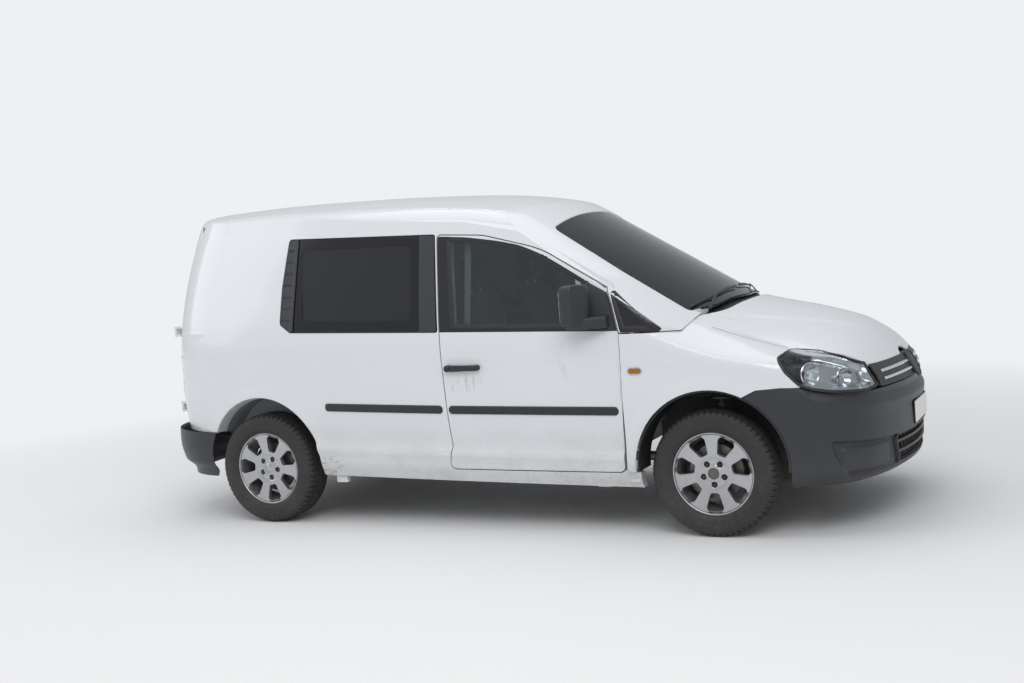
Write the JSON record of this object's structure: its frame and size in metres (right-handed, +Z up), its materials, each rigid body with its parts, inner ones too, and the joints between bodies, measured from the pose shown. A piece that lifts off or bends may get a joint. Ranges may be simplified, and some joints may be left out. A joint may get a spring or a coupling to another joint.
{
  "type": "small panel van",
  "caption": "Small white panel van with glazed load space, side-hinged rear doors, hinged front doors and bonnet, steering and rolling wheels.",
  "frame": {"origin": "on the ground under the middle of the overall length and width", "axes": "+X forward along the vehicle's length, +Y to its left, +Z up"},
  "size_m": [4.406, 2.062, 1.838],
  "materials": {
    "white_paint": "slightly dulled white enamel",
    "floor_paint": "dusty white enamel",
    "bumper_plastic": "grained dark blue-grey",
    "black_plastic": "satin black",
    "grille_plastic": "black with bright bars",
    "lamp_clear": "clear moulded lens",
    "lamp_red": "red moulded lens",
    "clear_glass": "light green tint",
    "dark_glass": "dark tint",
    "alloy": "silver lacquered",
    "tyre_rubber": "worn black",
    "cast_parts": "dusty",
    "chassis_black": "black chassis paint",
    "pipe_steel": "dull heat-stained",
    "seat_fabric": "woven grey",
    "dash_plastic": "grained charcoal"
  },
  "bodies": {
    "chassis": {"floor_pan": "floor_paint", "side_left": "white_paint", "side_right": "white_paint", "roof": "white_paint", "fender_left": "white_paint", "fender_right": "white_paint", "front_bumper": "bumper_plastic", "rear_bumper": "bumper_plastic", "grille": "grille_plastic", "headlamps": "lamp_clear", "tail_lamps": "lamp_red", "windscreen": "clear_glass", "side_glass": "dark_glass", "cowl": "black_plastic", "engine": "cast_parts", "front_subframe": "chassis_black", "rear_axle": "chassis_black", "exhaust": "pipe_steel", "fuel_tank": "black_plastic", "dashboard": "dash_plastic", "seats": "seat_fabric", "arch_liners": "black_plastic", "side_trim": "black_plastic"},
    "front_door_left": {"door_left": "white_paint", "door_glass_left": "clear_glass", "door_trim_left": "bumper_plastic"},
    "front_door_right": {"door_right": "white_paint", "door_glass_right": "clear_glass", "door_trim_right": "bumper_plastic"},
    "back_door_left": {"rear_door_left": "white_paint", "rear_glass_left": "dark_glass"},
    "back_door_right": {"rear_door_right": "white_paint", "rear_glass_right": "dark_glass"},
    "bonnet_lid": {"bonnet": "white_paint"},
    "upright_left": {"knuckle_left": "cast_parts"},
    "upright_right": {"knuckle_right": "cast_parts"},
    "roller_front_left": {"wheel_front_left": "alloy", "tyre_front_left": "tyre_rubber"},
    "roller_front_right": {"wheel_front_right": "alloy", "tyre_front_right": "tyre_rubber"},
    "roller_rear_left": {"wheel_rear_left": "alloy", "tyre_rear_left": "tyre_rubber"},
    "roller_rear_right": {"wheel_rear_right": "alloy", "tyre_rear_right": "tyre_rubber"},
    "steering": {"steering_wheel": "dash_plastic"}
  },
  "joints": [
    {"name": "front_door_left_swing", "type": "hinge", "parent": "chassis", "child": "front_door_left", "pos_m": [0.929, 0.862, 0.72], "axis": [0, 0, -1], "range_deg": [0, 65]},
    {"name": "front_door_right_swing", "type": "hinge", "parent": "chassis", "child": "front_door_right", "pos_m": [0.929, -0.862, 0.72], "axis": [0, 0, 1], "range_deg": [0, 65]},
    {"name": "back_door_left_swing", "type": "hinge", "parent": "chassis", "child": "back_door_left", "pos_m": [-2.05218, 0.7031, 0.898], "axis": [0, 0, -1], "range_deg": [0, 180]},
    {"name": "back_door_right_swing", "type": "hinge", "parent": "chassis", "child": "back_door_right", "pos_m": [-2.05218, -0.7031, 0.898], "axis": [0, 0, 1], "range_deg": [0, 180]},
    {"name": "bonnet_lift", "type": "hinge", "parent": "chassis", "child": "bonnet_lid", "pos_m": [1.184, 0, 1.086], "axis": [0, -1, 0], "range_deg": [0, 60]},
    {"name": "steer_left", "type": "hinge", "parent": "chassis", "child": "upright_left", "pos_m": [1.325, 0.7, 0.214], "axis": [0, -0.1875, 0.9823], "range_deg": [-35, 35]},
    {"name": "steer_right", "type": "hinge", "parent": "chassis", "child": "upright_right", "pos_m": [1.325, -0.7, 0.214], "axis": [0, 0.1875, 0.9823], "range_deg": [-36, 36]},
    {"name": "steering_turn", "type": "hinge", "parent": "chassis", "child": "steering", "pos_m": [0.52, 0.37, 0.985], "axis": [-0.8988, 0, 0.4384], "range_deg": [-545, 545]},
    {"name": "roll_front_left", "type": "hinge", "parent": "upright_left", "child": "roller_front_left", "pos_m": [1.325, 0.7625, 0.317], "axis": [0, 1, 0], "continuous": true},
    {"name": "roll_front_right", "type": "hinge", "parent": "upright_right", "child": "roller_front_right", "pos_m": [1.325, -0.7625, 0.317], "axis": [0, 1, 0], "continuous": true},
    {"name": "roll_rear_left", "type": "hinge", "parent": "chassis", "child": "roller_rear_left", "pos_m": [-1.357, 0.7625, 0.317], "axis": [0, 1, 0], "continuous": true},
    {"name": "roll_rear_right", "type": "hinge", "parent": "chassis", "child": "roller_rear_right", "pos_m": [-1.357, -0.7625, 0.317], "axis": [0, 1, 0], "continuous": true}
  ],
  "couplings": [
    {"joint": "steer_right", "follows": "steer_left", "ratio": 1},
    {"joint": "steering_turn", "follows": "steer_left", "ratio": 15}
  ]
}
